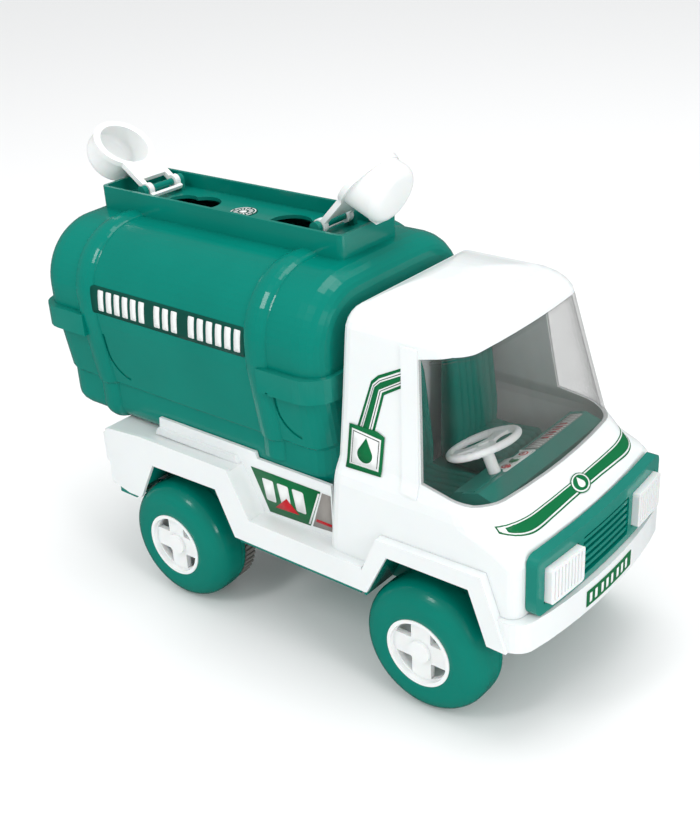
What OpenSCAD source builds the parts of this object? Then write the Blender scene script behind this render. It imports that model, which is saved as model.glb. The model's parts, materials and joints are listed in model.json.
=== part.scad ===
// Friction-powered toy tanker truck, +X forwards, +Y to the truck's left, +Z up.
// The origin is under the middle of the bounding box, on the surface that the tyres stand on.

/* [Wheels and axles] */
// Front axle position
front_axle_x = 110; // [109:0.5:111]
// Rear axle position
rear_axle_x = -64; // [-65:0.5:-63]
// Outer radius of a tyre
tyre_r = 36.5; // [36:0.5:37]
// Height of the axles over the drawing's base line
axle_z = 34; // [33.5:0.5:34.5]
// Width of a tyre
tyre_w = 23; // [22:1:24]
// Half of the width over the rims
track_half = 75; // [74.5:0.5:76]
// Radius of the bright rim
rim_r = 19; // [18:0.5:20]
// Radius of an axle rod
axle_r = 2; // [1.6:0.1:2.4]
// Clearance around a turning shaft
fit_gap = 0.05; // [0.02:0.01:0.08]

/* [Chassis] */
// Half of the width over the fenders
chassis_half = 73; // [72:0.5:74]
// Underside of the sills
sill_z = 56.5; // [56:0.5:58]
// Top of the sills
sill_top_z = 71; // [70:0.5:72]
// Top of the bed under the tank
bed_z = 95; // [94:0.5:95.5]
// Wall thickness of the white mouldings
wall = 2; // [1.6:0.2:2.4]

/* [Cab] */
// Half of the cab's width below the belt line
cab_half = 68; // [67:0.5:68.5]
// Rear face of the cab above the belt line
cab_rear_x = 54; // [53.5:0.5:55]
// Height at which the roof starts to round over
roof_z = 187; // [186:0.5:188]
// Radius of the steering wheel
steer_r = 19.5; // [18:0.5:20.5]

/* [Tank] */
// Rear end of the tank
tank_rear_x = -160; // [-161:0.5:-159]
// Front end of the tank
tank_front_x = 47; // [46:0.5:47.5]
// Half of the tank's width
tank_half = 66; // [65:0.5:66.5]
// Height of the joint between the two tank shells
split_z = 163; // [162:0.5:164]
// Wall thickness of the tank
tank_wall = 2.2; // [1.8:0.2:2.6]
// Height of the tray's rim
tray_top_z = 222; // [221:0.5:223]
// Half of the tray's width
tray_half = 23; // [22.5:0.5:23.5]

/* [Filler lids] */
// Height of the lid hinges
hinge_z = 220; // [219.9:0.1:221]
// Distance from a hinge to the middle of its lid plate
lid_reach = 35; // [34:0.5:36]
// Radius of the round lid plate
lid_r = 18; // [17:0.5:18.5]
// Radius of the hollow dome on a lid
dome_r = 16; // [15:0.5:16.5]
// Length of the dome along its own axis
dome_len = 18.5; // [17:0.5:20]
// Opening angle of the rear lid
rear_open = 145; // [138:1:145]
// Opening angle of the front lid
front_open = 134; // [128:1:138]

/* [Friction motor] */
// Tooth module of the gears
gear_module = 0.8; // [0.78:0.01:0.82]
// Teeth of the two large gears
wheel_teeth = 30; // [30:1:30]
// Teeth of the two pinions
pinion_teeth = 10; // [10:1:10]
// Radius of the steel flywheel
flywheel_r = 12.5; // [11:0.5:13]

/* [Hidden] */
$fn = 64;

x_trim = -1.383;                        // brings the middle of the bounding box to x = 0
lift = tyre_r - axle_z;                 // stands the tyres on z = 0
far = 400;                             // longer than the truck
plate_z = 55.8;                        // top of the underbody plate
plate_t = 3;
well_inner_y = 47;                     // inner wall of the front wheel wells
rear_well_inner_y = 36;                // inner wall of the rear wheel wells
ring_r = tyre_r - 0.6;                 // ribbed traction ring
ring_w = 7.5;
ring_ribs = 60;
floor_z = 214;                         // tray floor
tray_rear_x = -147.5;
tray_front_x = 32;
rear_hinge_x = -121.5;
front_hinge_x = 8;
mesh_dist = gear_module * (wheel_teeth + pinion_teeth) / 2;
idler_x = rear_axle_x + mesh_dist * cos(20);
idler_z = axle_z + mesh_dist * sin(20);
fly_x = idler_x + mesh_dist;
fly_z = idler_z;
steer_x = 118.5;                         // steering wheel centre
steer_y = -28;
steer_z = 134;
steer_tilt = -25;

// ---- outlines --------------------------------------------------------------------------------

// Points on an arc, both ends included
function arc(cx, cy, r, a0, a1, n) = [for (i = [0:n]) let (a = a0 + (a1 - a0) * i / n) [cx + r * cos(a),
    cy + r * sin(a)]];

module centred() translate([x_trim, 0, lift]) children();

// A closed outline with every edge moved inwards by t; the outline runs anticlockwise
function inset(pts, t) =
    let (n = len(pts))
    [for (i = [0:n - 1])
        let (p = pts[i], a = p - pts[(i + n - 1) % n], b = pts[(i + 1) % n] - p,
             na = [-a.y, a.x] / norm(a), nb = [-b.y, b.x] / norm(b))
        p + t * (na + nb) / (1 + na * nb)];

function mirrored(half) = concat(half, [for (i = [len(half) - 1:-1:0]) [-half[i].x, half[i].y]]);

// An outline in X and Z, extruded along Y from y0 to y1
module side_block(pts, y0, y1) {
    translate([0, y1, 0]) rotate([90, 0, 0]) linear_extrude(y1 - y0) polygon(pts);
}

// An outline in Y and Z, extruded along X from x0 to x1
module cross_block(pts, x0, x1) {
    translate([x0, 0, 0]) rotate([90, 0, 90]) linear_extrude(x1 - x0) polygon(pts);
}

module both_sides() {
    children();
    mirror([0, 1, 0]) children();
}

// A skin through rings of equal length that run anticlockwise about the direction they are stacked in
module loft(rings) {
    n = len(rings[0]);
    m = len(rings);
    quads = [for (k = [0:m - 2], i = [0:n - 1]) [k * n + i, k * n + (i + 1) % n,
        (k + 1) * n + (i + 1) % n, (k + 1) * n + i]];
    polyhedron([for (r = rings) each r], concat([[for (i = [0:n - 1]) i]],
        [for (q = quads) each [[q[0], q[3], q[2]], [q[0], q[2], q[1]]]],
        [[for (i = [n - 1:-1:0]) (m - 1) * n + i]]), convexity = 8);
}

// ---- cab -------------------------------------------------------------------------------------

// Centre-line front, half width, front corner radius and front bow of the cab, by height
cab_front = [[70, 166], [100, 166], [104, 165], [108, 161.5], [112, 156.5], [116, 151.5], [120, 147],
    [187, 127.4], [205, 122.2]];
cab_width = [[70, 68], [112, 68], [117, 67.2], [121, 65.4], [124, 64], [154, 59.4], [187, 54.8],
    [205, 53.4]];
cab_corner = [[70, 6], [98, 6], [104, 12], [110, 20], [120, 17], [187, 13], [205, 12]];
cab_bow = [[70, 4], [100, 4], [110, 9], [120, 6], [187, 3], [205, 3]];
cab_levels = [71, 86, 98, 101, 104, 106, 108, 110, 112, 114, 117, 119, 121, 123, 125, 140, 155, 170, 180,
    roof_z];

// One level ring of the cab: e is pulled in at the sides, ef at the front and er at the rear
function cab_ring(z, zq, e, ef, er) =
    let (w = lookup(zq, cab_width) * cab_half / 68 - e, b = lookup(zq, cab_bow),
        rc = max(2, lookup(zq, cab_corner) - e / 2),
         xf = lookup(zq, cab_front) - b - ef, rr = max(2, 7 - e / 2),
         xr = (zq < 124 ? cab_rear_x - 6 + 6 * (zq - 70) / 54 : cab_rear_x) + er,
         front = [for (i = [-3:3]) [xf, i / 3 * (w - rc) * 0.94]],
         flat = concat([for (p = front) p], arc(xf - rc, w - rc, rc, 0, 90, 7),
             arc(xr + rr, w - rr, rr, 90, 180, 4),
             arc(xr + rr, rr - w, rr, 180, 270, 4), arc(xf - rc, rc - w, rc, 270, 360, 7)))
    [for (p = flat) [p.x + (p.x > xr + rr ? b * (1 - pow(p.y / w, 2))
        * pow((p.x - xr - rr) / (xf - xr - rr), 6) : 0), p.y, z]];

// The cab's solid, t inside its outer skin, from z0 up
function cab_rings(t, z0) = concat(
    [cab_ring(z0, max(z0, 71), t, t, t)],
    [for (z = cab_levels) if (z > z0) cab_ring(z, z, t, t, t)],
    [for (i = [1:6]) let (a = i * 15) cab_ring(roof_z + 13 * sin(a) - t * sin(a), roof_z + 4 * sin(a),
        t + 13 * (1 - cos(a)), t + 20 * (1 - cos(a)), t + 7 * (1 - cos(a)))],
    [for (s = [1:5]) let (q = s / 6, z = 200 - t + 5 * (1 - pow(1 - q, 2))) cab_ring(z, 200,
        t + 13 + 38 * q, t + 20 + 22 * q, t + 7 + 16 * q)]);

// The window opening seen from the side; g makes it larger all round
function window_side(g) = [[107 - g * 0.3, 125 - g], [134, 120.6 - g], [far, 119.4 - g],
    [far, 190.4 + g], [118, 188.6 + g], [101 - g, 184.5 + g]];

module cab_skin(t_in) {
    difference() {
        loft(cab_rings(0, 71));
        loft(cab_rings(t_in, 60));
    }
}

// Outline of the front flare, from the side
flare_side = [[69.2, 57], [160, 54.5], [146, 92.4], [85, 91]];
front_arch = [[154.8, 40], [139, 83], [91, 82.5], [69, 40]];
rear_arch = [[-6.9, 40], [-26, 83], [-76, 82], [-98.6, 40]];

module cab_shell() centred() color("white") {
    difference() {
        cab_skin(wall);
        side_block(window_side(0.1), -far, far);
        both_sides() side_block(inset(flare_side, -0.15), 60, far);
        // drain and vent gap over the bed
        translate([44, -30, 60]) cube([16, 60, 30]);
    }
    // raised band down each door pillar
    both_sides() intersection() {
        difference() {
            loft(cab_rings(-0.9, 71));
            loft(cab_rings(wall / 2, 60));
        }
        side_block([[97, 119], [106.6, 118], [100.4, 189], [91, 189]], 20, far);
    }
    // rear window frame
    translate([cab_rear_x - 0.8, 0, 0]) cross_block(arcs_frame(30, 140, 176, 5), 0, 2);
    // screw bosses that the chassis screws run into
    both_sides() translate([66, 52, sill_top_z + 0.1]) difference() {
        union() {
            cylinder(r = 4.2, h = 14);
            translate([-0.8, 0, 0]) cube([1.6, 15, 14]);
        }
        translate([0, 0, -1]) cylinder(r = 1.3, h = 11);
    }
}

// A rectangle with round corners, y from -w to w and z from z0 to z1
function arcs_frame(w, z0, z1, r) = concat(arc(w - r, z1 - r, r, 0, 90, 5),
    arc(r - w, z1 - r, r, 90, 180, 5),
    arc(r - w, z0 + r, r, 180, 270, 5), arc(w - r, z0 + r, r, 270, 360, 5));

module windshield() centred() color([0.45, 0.45, 0.45, 0.4]) {
    intersection() {
        cab_skin(1.4);
        side_block(inset(window_side(0), 0.1), -far, far);
    }
    // rolled rim that hooks under the roof
    intersection() {
        difference() {
            loft(cab_rings(1.3, 71));
            loft(cab_rings(3.2, 60));
        }
        side_block([[106, 182.4], [118, 185.8], [far, 187.6], [far, 189], [118, 187.2], [106, 183.9]],
            -far, far);
    }
}

// ---- chassis ---------------------------------------------------------------------------------

rear_side = [[-114, 60], [-100, sill_z], [77, sill_z], [74.5, sill_top_z], [-2, sill_top_z], [-15, 97],
    [-114, 95]];

// Bumper and valance in plan: a bowed front with round corners
function bumper_plan(t) = concat([[120, -71 + t]], arc(158, -60 + t * 0.6, 11 - t * 0.4, -90, -20, 5),
    [for (i = [-4:4]) let (y = i * 13) [174.93 - t - 5.5 * pow(y / 60, 2), y]],
        arc(158, 60 - t * 0.6, 11 - t * 0.4, 20, 90, 5), [[120, 71 - t]]);

// Round space that a wheel turns in, inside the chassis's side walls
module wheel_space_inner() {
    both_sides() for (x = [front_axle_x, rear_axle_x])
        rod_y(x, axle_z, tyre_r + 1.6, rear_well_inner_y, chassis_half - wall + 0.01);
}

// Round space that a wheel turns in
module wheel_space(y_in) {
    both_sides() for (x = [front_axle_x, rear_axle_x]) rod_y(x, axle_z, tyre_r + 1.6, y_in, far);
}

module chassis_body() centred() color("white") {
    difference() {
        union() {
            both_sides() side_block(rear_side, 56, chassis_half);
            both_sides() side_block(flare_side, 62, chassis_half);
            translate([-113.9, -60.3, 60]) cube([161.2, 120.6, bed_z - 60]);
            translate([50, -66, 58]) cube([100, 132, sill_top_z - 58.2]);
            translate([0, 0, 54.5]) linear_extrude(sill_top_z - 54.7) polygon(bumper_plan(0));
        }
        // hollow inside, open underneath
        both_sides() side_block(concat([[-112, 40], [73, 40]],
            [[72.6, 69], [-3.3, 69], [-16.3, 95], [-112, 93]]), 54, chassis_half - wall);
        both_sides() side_block([[73, 40], [160, 40], [157, 56], [144.6, 90.4], [86.2, 89]], 54,
            chassis_half - wall);
        translate([-112, -58.3, 40]) cube([157.4, 116.6, bed_z - 42]);
        translate([46, -64, 40]) cube([90, 128, sill_top_z - 42.2]);
        translate([0, 0, 40]) linear_extrude(sill_top_z - 42.2) polygon(bumper_plan(wall));
        // openings for the wheels and their wells
        both_sides() side_block(front_arch, well_inner_y - 1, far);
        both_sides() side_block(rear_arch, rear_well_inner_y - 1, far);
        both_sides() for (x = [front_axle_x, rear_axle_x])
            rod_y(x, axle_z, tyre_r - 2, chassis_half - wall - 0.1, far);
        wheel_space_inner();
        both_sides() side_block(inset(front_arch, -2), well_inner_y - 1, chassis_half - wall + 0.01);
        both_sides() side_block(inset(rear_arch, -2), rear_well_inner_y - 1, chassis_half - wall + 0.01);
        // way through under the cab's floor
        translate([72, -44, 60]) cube([66, 88, 20]);
        for (y = [-52, 52]) translate([66, y, 60]) cylinder(r = 1.7, h = 20);
    }
    // bosses that the rear screws run into
    for (y = [-48, 48]) translate([-100, y, plate_z + 0.1]) difference() {
        cylinder(r = 4, h = bed_z - plate_z - 1.1);
        translate([0, 0, -1]) cylinder(r = 1.3, h = 24);
    }
    both_sides() bed_side();
    both_sides() rear_corner();
}

// Recessed side panel and the rail that the tank stands in
module bed_side() {
    side_block([[-2, sill_top_z - 0.1], [47.4, sill_top_z - 0.1], [47.4, bed_z + 0.1],
        [-2, bed_z + 0.1]], 58.3, 60.5);
    side_block([[-81, bed_z - 1], [47.4, bed_z - 1], [47.2, 103], [-4, 103], [-5, 106.7], [-79, 106.7]],
        58.5, 60.4);
    side_block([[-81, 97], [-17, 97], [-19, 101], [-79, 101]], 60.2, 63);
    // ledge along the fender's top
    side_block([[-112, 94], [-15, 96.8], [-16, 98.4], [-84, 98.4], [-112, 96]], 70.5, chassis_half - 0.01);
}

// Stub of the rear bumper with its lamp recess
module rear_corner() {
    difference() {
        side_block([[-120, 72], [-113.5, 68], [-113.5, 94], [-120, 90]], 40, 70);
        side_block([[-121, 76], [-117.5, 76], [-117.5, 87], [-121, 87]], 46, 64);
    }
}

// ---- underbody -------------------------------------------------------------------------------

module well(outline, y_in) {
    difference() {
        side_block(inset(outline, -1.6), y_in, 70.6);
        side_block(outline, y_in + 1.6, far);
        translate([-far, -far, 0]) cube([2 * far, 2 * far, plate_z - plate_t]);
        wheel_space(y_in + 1.6);
    }
}

module axle_hanger(x, y, w) {
    difference() {
        translate([x - 8, y - w / 2, axle_z - 7]) cube([16, w, plate_z - plate_t / 2 - axle_z + 7]);
        translate([x, y, axle_z]) rotate([90, 0, 0]) cylinder(r = axle_r + fit_gap, h = w + 2,
            center = true);
    }
}

module underbody() centred() color("seagreen") {
    difference() {
        union() {
            translate([-111, -70.4, plate_z - plate_t]) cube([183, 140.8, plate_t]);
            translate([70, -68.4, plate_z - plate_t]) cube([86, 136.8, plate_t]);
            translate([154, -54, plate_z - plate_t]) cube([12, 108, plate_t]);
        }
        both_sides() side_block(inset(front_arch, -0.5), well_inner_y + 1.6, far);
        both_sides() side_block(inset(rear_arch, -0.5), rear_well_inner_y + 1.6, far);
        // window for the friction motor
        translate([-88, -14, 40]) cube([76, 32, 30]);
        wheel_space(rear_well_inner_y + 1.6);
        // screw holes
        for (p = screw_spots) translate([p.x, p.y, 40]) cylinder(r = 1.7, h = 30);
        for (p = screw_spots) translate([p.x, p.y, 40]) cylinder(r = 3.5, h = plate_z - plate_t - 40 + 2.1);
    }
    both_sides() well(front_arch, well_inner_y);
    both_sides() well(rear_arch, rear_well_inner_y);
    both_sides() axle_hanger(front_axle_x, 41, 8);
    both_sides() axle_hanger(rear_axle_x, 29, 7);
}

screw_spots = [[66, -52], [66, 52], [-100, -48], [-100, 48]];

module screw(head_r, shank_r, len_under, head_h) {
    difference() {
        union() {
            translate([0, 0, -head_h]) cylinder(r = head_r, h = head_h);
            cylinder(r = shank_r, h = len_under);
        }
        for (a = [0, 90]) rotate(a) translate([-head_r * 0.7, -0.4, -head_h - 1])
            cube([head_r * 1.4, 0.8, 1.9]);
    }
}

module chassis_screws() centred() color("silver")
    for (p = screw_spots) translate([p.x, p.y, plate_z - plate_t + 2.08])
        screw(3.2, 1.25, p.x > 0 ? 24 : 18, 2);

// ---- wheels ----------------------------------------------------------------------------------

// Half section of a tyre: radius first, then distance inwards from the rim's outer face
tyre_section = concat([[rim_r, 0.5]], arc(21.5, 1.4, 1.4, -120, -90, 2),
    arc(tyre_r - 11.5, 11.5, 11.5, -90, 0, 12),
    [[tyre_r, 18], [tyre_r - 0.7, 18.6], [tyre_r - 0.7, 19.2], [tyre_r - 0.2, 19.8]],
        arc(tyre_r - 2.6, tyre_w - 2.4, 2.4, 0, 90, 4),
    [[rim_r, tyre_w]]);

// Turns a wheel part, drawn with its axis along Z and its outer face at 0, onto an axle end
module at_wheel(x, side) {
    translate([x, side * track_half, axle_z]) rotate([side * 90, 0, 0]) children();
}

module tyre() color("seagreen") rotate_extrude($fn = 128) polygon(tyre_section);

module rim() color("white") {
    difference() {
        cylinder(r = rim_r - 0.02, h = tyre_w - 2, $fn = 96);
        translate([0, 0, -1]) cylinder(r = rim_r - 2, h = 4);
        translate([0, 0, 6.2]) cylinder(r = rim_r - 2, h = far);
        translate([0, 0, -1]) linear_extrude(far) difference() {
            circle(r = rim_r - 2.6);
            square([11.5, far], center = true);
            square([far, 11.5], center = true);
            circle(r = 8.6);
        }
    }
    translate([0, 0, 1]) cylinder(r = 6, h = 2.1);
    translate([0, 0, 6.1]) difference() {
        cylinder(r = 4.6, h = tyre_w - 9);
        cylinder(r = axle_r, h = far);
    }
}

module front_left_tyre() centred() at_wheel(front_axle_x, 1) tyre();
module front_right_tyre() centred() at_wheel(front_axle_x, -1) tyre();
module rear_left_tyre() centred() at_wheel(rear_axle_x, 1) tyre();
module rear_right_tyre() centred() at_wheel(rear_axle_x, -1) tyre();
module front_left_rim() centred() at_wheel(front_axle_x, 1) rim();
module front_right_rim() centred() at_wheel(front_axle_x, -1) rim();
module rear_left_rim() centred() at_wheel(rear_axle_x, 1) rim();
module rear_right_rim() centred() at_wheel(rear_axle_x, -1) rim();

module traction_ring() color("dimgray") {
    rib = 360 / ring_ribs;
    difference() {
        union() {
            linear_extrude(ring_w, convexity = 10) polygon([for (i = [0:ring_ribs - 1],
                s = [[0, 0], [0.5, 0], [0.5, 1], [1, 1]])
                let (a = (i + s[0] * 0.98) * rib, r = ring_r - s[1] * 0.9) [r * cos(a), r * sin(a)]]);
            cylinder(r = ring_r - 1.2, h = 2, $fn = 96);
        }
        translate([0, 0, 2]) cylinder(r = 26, h = far);
        translate([0, 0, -1]) cylinder(r = axle_r, h = far);
    }
    translate([0, 0, 2]) difference() {
        cylinder(r = 4.6, h = ring_w - 2);
        translate([0, 0, -1]) cylinder(r = axle_r, h = far);
    }
}

module traction_ring_left() centred() at_wheel(rear_axle_x, 1) translate([0, 0, tyre_w + 0.1])
    traction_ring();
module traction_ring_right() centred() at_wheel(rear_axle_x, -1) translate([0, 0, tyre_w + 0.1])
    traction_ring();

module axle_rod(x) color("silver") translate([x, 0, axle_z]) rotate([90, 0, 0])
    cylinder(r = axle_r, h = 2 * (track_half - 6.1), center = true);
module front_axle() centred() axle_rod(front_axle_x);
module rear_axle() centred() axle_rod(rear_axle_x);

// ---- friction motor --------------------------------------------------------------------------

// Point of an involute at radius r from base radius rb
function involute_angle(rb, r) = r <= rb ? 0 : sqrt(pow(r / rb, 2) - 1) * 180 / PI - acos(rb / r);

// Spur gear outline with a tooth centred on angle "at"
module spur(teeth, at, slack = 0.1) {
    rp = gear_module * teeth / 2;
    rb = rp * cos(20);
    ra = rp + gear_module * 0.85;
    rf = rp - gear_module * 1.15;
    half = 90 / teeth - slack / rp * 90 / PI;
    flank = [for (i = [0:5]) let (r = max(rb, rf) + (ra - max(rb, rf)) * i / 5) [r,
        half + involute_angle(rb, rp) - involute_angle(rb, r)]];
    polygon([for (k = [0:teeth - 1]) let (c = at + k * 360 / teeth) each concat(
        [[rf * cos(c - flank[0][1]), rf * sin(c - flank[0][1])]],
        [for (p = flank) [p[0] * cos(c - p[1]), p[0] * sin(c - p[1])]],
        [for (i = [5:-1:0]) [flank[i][0] * cos(c + flank[i][1]), flank[i][0] * sin(c + flank[i][1])]],
        [[rf * cos(c + flank[0][1]), rf * sin(c + flank[0][1])]])]);
}

// A gear on a shaft along Y through x and z, from y0 to y1
module gear(teeth, at, x, z, y0, y1, bore) {
    translate([x, y1, z]) rotate([90, 0, 0]) linear_extrude(y1 - y0) difference() {
        spur(teeth, at);
        circle(r = bore);
    }
}

shaft_r = 1.25;
case_y0 = -12;
case_y1 = 16;
case_t = 1.8;

module rod_y(x, z, r, y0, y1) translate([x, y1, z]) rotate([90, 0, 0]) cylinder(r = r, h = y1 - y0);

module axle_gear() centred() color("ivory") gear(wheel_teeth, 20, rear_axle_x, axle_z, -9, -5, axle_r);
module idler_shaft() centred() color("silver") rod_y(idler_x, idler_z, shaft_r, case_y0 + 0.2,
    case_y1 - 0.2);
module idler_gear() centred() color("ivory") {
    gear(pinion_teeth, 200 + 180 / pinion_teeth, idler_x, idler_z, -9.4, -2, shaft_r);
    gear(wheel_teeth, 0, idler_x, idler_z, -2.01, 2, shaft_r);
}
module flywheel_shaft() centred() color("silver") rod_y(fly_x, fly_z, shaft_r, case_y0 + 0.2,
    case_y1 - 0.2);
module flywheel_pinion() centred() color("ivory") gear(pinion_teeth, 180 + 180 / pinion_teeth, fly_x,
    fly_z, -2.4, 4, shaft_r);
module flywheel() centred() color("gray") difference() {
    union() {
        rod_y(fly_x, fly_z, flywheel_r, 5, 11.5);
        rod_y(fly_x, fly_z, 4, 4.01, 5.1);
    }
    rod_y(fly_x, fly_z, shaft_r, 0, 20);
    rod_y(fly_x, fly_z, flywheel_r - 3, 9.5, 20);
}

// Outline of the motor case from the side, t inside its outer wall
function case_side(t) = [[-80 + t, 24 + t], [-74 + t / 2, 18.5 + t], [-52 - t / 2, 18.5 + t],
    [-46, 24 + t], [-17 - t, 24 + t], [-17 - t, 54 - t],
    [-80 + t, 54 - t]];

module case_half(y0, y1, open_at) {
    difference() {
        side_block(case_side(0), y0, y1);
        side_block(case_side(case_t), open_at < 0 ? y0 + case_t : y0 - 1,
            open_at < 0 ? y1 + 1 : y1 - case_t);
        rod_y(rear_axle_x, axle_z, axle_r + fit_gap, -50, 50);
        rod_y(idler_x, idler_z, shaft_r + fit_gap, -50, 50);
        rod_y(fly_x, fly_z, shaft_r + fit_gap, -50, 50);
        for (p = motor_screw_spots) rod_y(p.x, p.y, 1.1, -50, 50);
    }
}

motor_screw_spots = [[-77.2, 50.6], [-19.8, 50.6]];

module motor_case_left() centred() color("dimgray") case_half(2.1, case_y1, 1);
module motor_case_right() centred() color("dimgray") {
    case_half(case_y0, 2, -1);
    // ears that rest on the underbody plate
    difference() {
        side_block([[-96, plate_z + 0.1], [-1, plate_z + 0.1], [-1, plate_z + 2.6],
            [-96, plate_z + 2.6]], case_y0, 2);
        side_block([[-80.1, 50], [-16.9, 50], [-16.9, 60], [-80.1, 60]], case_y0 - 1, -4);
    }
    side_block([[-80, 53.9], [-17, 53.9], [-17, plate_z + 2.6], [-80, plate_z + 2.6]], case_y0, -3.99);
}
module motor_screws() centred() color("silver")
    for (p = motor_screw_spots) translate([p.x, case_y0 - 0.02, p.y]) rotate([-90, 0, 0])
        screw(2.2, 1.1, 24, 1.4);

// ---- tank ------------------------------------------------------------------------------------

tank_outline = mirrored(concat([[20, 95.4], [48, 95.4]], arc(50, 103.4, 8, -70, 0, 4),
    [[58, 118.6], [59.8, 120.4], [tank_half - 0.5, 158], [tank_half, 164]],
    arc(tank_half - 36, 173, 36, 0, 90, 14), [[12, 209.4]]));

end_r = 15;
band_h = 2.6;
band_w = 15;
rear_band_x = -121;
front_band_x = 8;

// How far the skin is pulled in at x, from the rounded ends, less the two raised bands
function end_pull(d) = d >= end_r ? 0 : (end_r - sqrt(max(0, end_r * end_r - pow(end_r - d, 2)))) * 0.75;
function band(x, c) = abs(x - c) >= band_w / 2 ? 0 : band_h * pow(cos(180 * (x - c) / band_w), 0.6);
function tank_pull(x) = end_pull(min(x - tank_rear_x, tank_front_x - x)) - band(x, rear_band_x) - band(x,
    front_band_x);
end_steps = [0, 0.6, 1.8, 3.8, 6.6, 10.4, 15];
band_steps = [-7.5, -7.1, -6.2, -4.8, -2.4, 0, 2.4, 4.8, 6.2, 7.1, 7.5];
tank_stations = concat([for (s = end_steps) tank_rear_x + s], [for (s = band_steps) rear_band_x + s],
    [for (s = band_steps) front_band_x + s],
    [for (i = [len(end_steps) - 1:-1:0]) tank_front_x - end_steps[i]]);

function ring_at(x, t) = [for (p = inset(tank_outline, t)) [x, p.x, p.y]];

module tank_solid() loft([for (x = tank_stations) ring_at(x, tank_pull(x))]);
module tank_hollow() loft(concat(
    [for (s = end_steps) ring_at(tank_rear_x + tank_wall + s, end_pull(s) + tank_wall)],
    [for (i = [len(end_steps) - 1:-1:0]) ring_at(tank_front_x - tank_wall - end_steps[i],
        end_pull(end_steps[i]) + tank_wall)]));

// The tray: a box with round corners, t inside its outer wall
module tray_block(t, z0, z1) {
    r = 3.5 - t / 2;
    translate([0, 0, z0]) linear_extrude(z1 - z0) polygon(concat(
        arc(tray_front_x - t - r, tray_half - t - r, r, 0, 90, 5),
            arc(tray_rear_x + t + r, tray_half - t - r, r, 90, 180, 5),
        arc(tray_rear_x + t + r, -tray_half + t + r, r, 180, 270, 5),
            arc(tray_front_x - t - r, -tray_half + t + r, r, 270, 360, 5)));
}

// Filler opening: a large round with a smaller one towards the hinge
module filler_hole(x, dir) {
    translate([x + dir * 31, 0, 190]) cylinder(r = 12, h = 40);
    translate([x + dir * 17, 0, 190]) cylinder(r = 8.5, h = 40);
    translate([x + dir * 24 - 6, -7, 190]) cube([12, 14, 40]);
}

module tank_upper_shell() centred() color("seagreen") {
    difference() {
        union() {
            intersection() {
                tank_solid();
                translate([-far, -far, split_z]) cube([2 * far, 2 * far, far]);
            }
            tray_block(0, 200, tray_top_z);
        }
        tank_hollow();
        tray_block(2, floor_z, far);
        tray_block(2, 190, floor_z - 2);
        filler_hole(rear_hinge_x, 1);
        filler_hole(front_hinge_x, -1);
    }
}

// The belt that wraps each end of the tank, in plan
belt_plan = concat(arc(50 - 16, 69.5 - 16, 16, 0, 90, 6), arc(-163 + 16, 69.5 - 16, 16, 90, 180, 6),
    arc(-163 + 16, 16 - 69.5, 16, 180, 270, 6), arc(50 - 16, 16 - 69.5, 16, 270, 360, 6));

// Hooked groove beside a band, cut 1 mm deep into the sloping lower side
module hook_groove(x) {
    both_sides() translate([x, 59.8, 120.4]) rotate([-8.6, 0, 0])
        side_block(concat([[0, 32]], arc(17, 21, 17, 180, 262, 7), arc(17, 21, 15.2, 262, 180, 7),
            [[1.8, 32]]), -1, 12);
}

module tank_lower_shell() centred() color("seagreen") {
    difference() {
        union() {
            intersection() {
                tank_solid();
                translate([-far, -far, 0]) cube([2 * far, 2 * far, split_z - 0.02]);
            }
            difference() {
                translate([0, 0, 150]) linear_extrude(split_z - 150.02) polygon(belt_plan);
                translate([rear_band_x - 2, -far, 140]) cube([front_band_x - rear_band_x + 4, 2 * far, 40]);
            }
        }
        tank_hollow();
        hook_groove(rear_band_x + 7.4);
        hook_groove(front_band_x + 7.4);
        // flat seat in the bed and between its rails
        translate([-far, -far, 0]) cube([2 * far, 2 * far, bed_z + 0.2]);
        both_sides() translate([-90, 58.05, 80]) cube([160, far, 27]);
        // round lower corners of the skirt
        for (p = [[tank_rear_x - 1, 0]]) difference() {
            side_block([[p.x, 90], [p.x + 13, 90], [p.x + 13, 109], [p.x, 109]], -far, far);
            translate([p.x + 13, 0, 109]) rotate([90, 0, 0]) cylinder(r = 12, h = 3 * far, center = true);
        }
    }
}

// ---- filler lids -----------------------------------------------------------------------------

bar_r = 2;
eye_r = 3.8;

// Bar and lugs that a lid turns on
module hinge_bar(x) color("seagreen") {
    rod_y(x, hinge_z, bar_r, -15, 15);
    both_sides() {
        rod_y(x, hinge_z, eye_r - 0.6, 12.5, 15.5);
        translate([x - 3.2, 12.5, floor_z]) cube([6.4, 3, hinge_z - floor_z]);
    }
}
module rear_hinge_bar() centred() hinge_bar(rear_hinge_x);
module front_hinge_bar() centred() hinge_bar(front_hinge_x);

// A closed lid drawn with its hinge axis on Y at the origin and its plate towards +X
lid_t = 1.5;                           // half of the plate's thickness
dome_tilt = 21;

module dome(r, z0, z1, edge) {
    translate([lid_reach, 0, 0]) rotate([0, dome_tilt, 0]) rotate_extrude($fn = 72)
        polygon(concat([[0, z0], [r, z0]], arc(r - edge, z1 - edge, edge, 0, 90, 8), [[0, z1]]));
}

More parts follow.
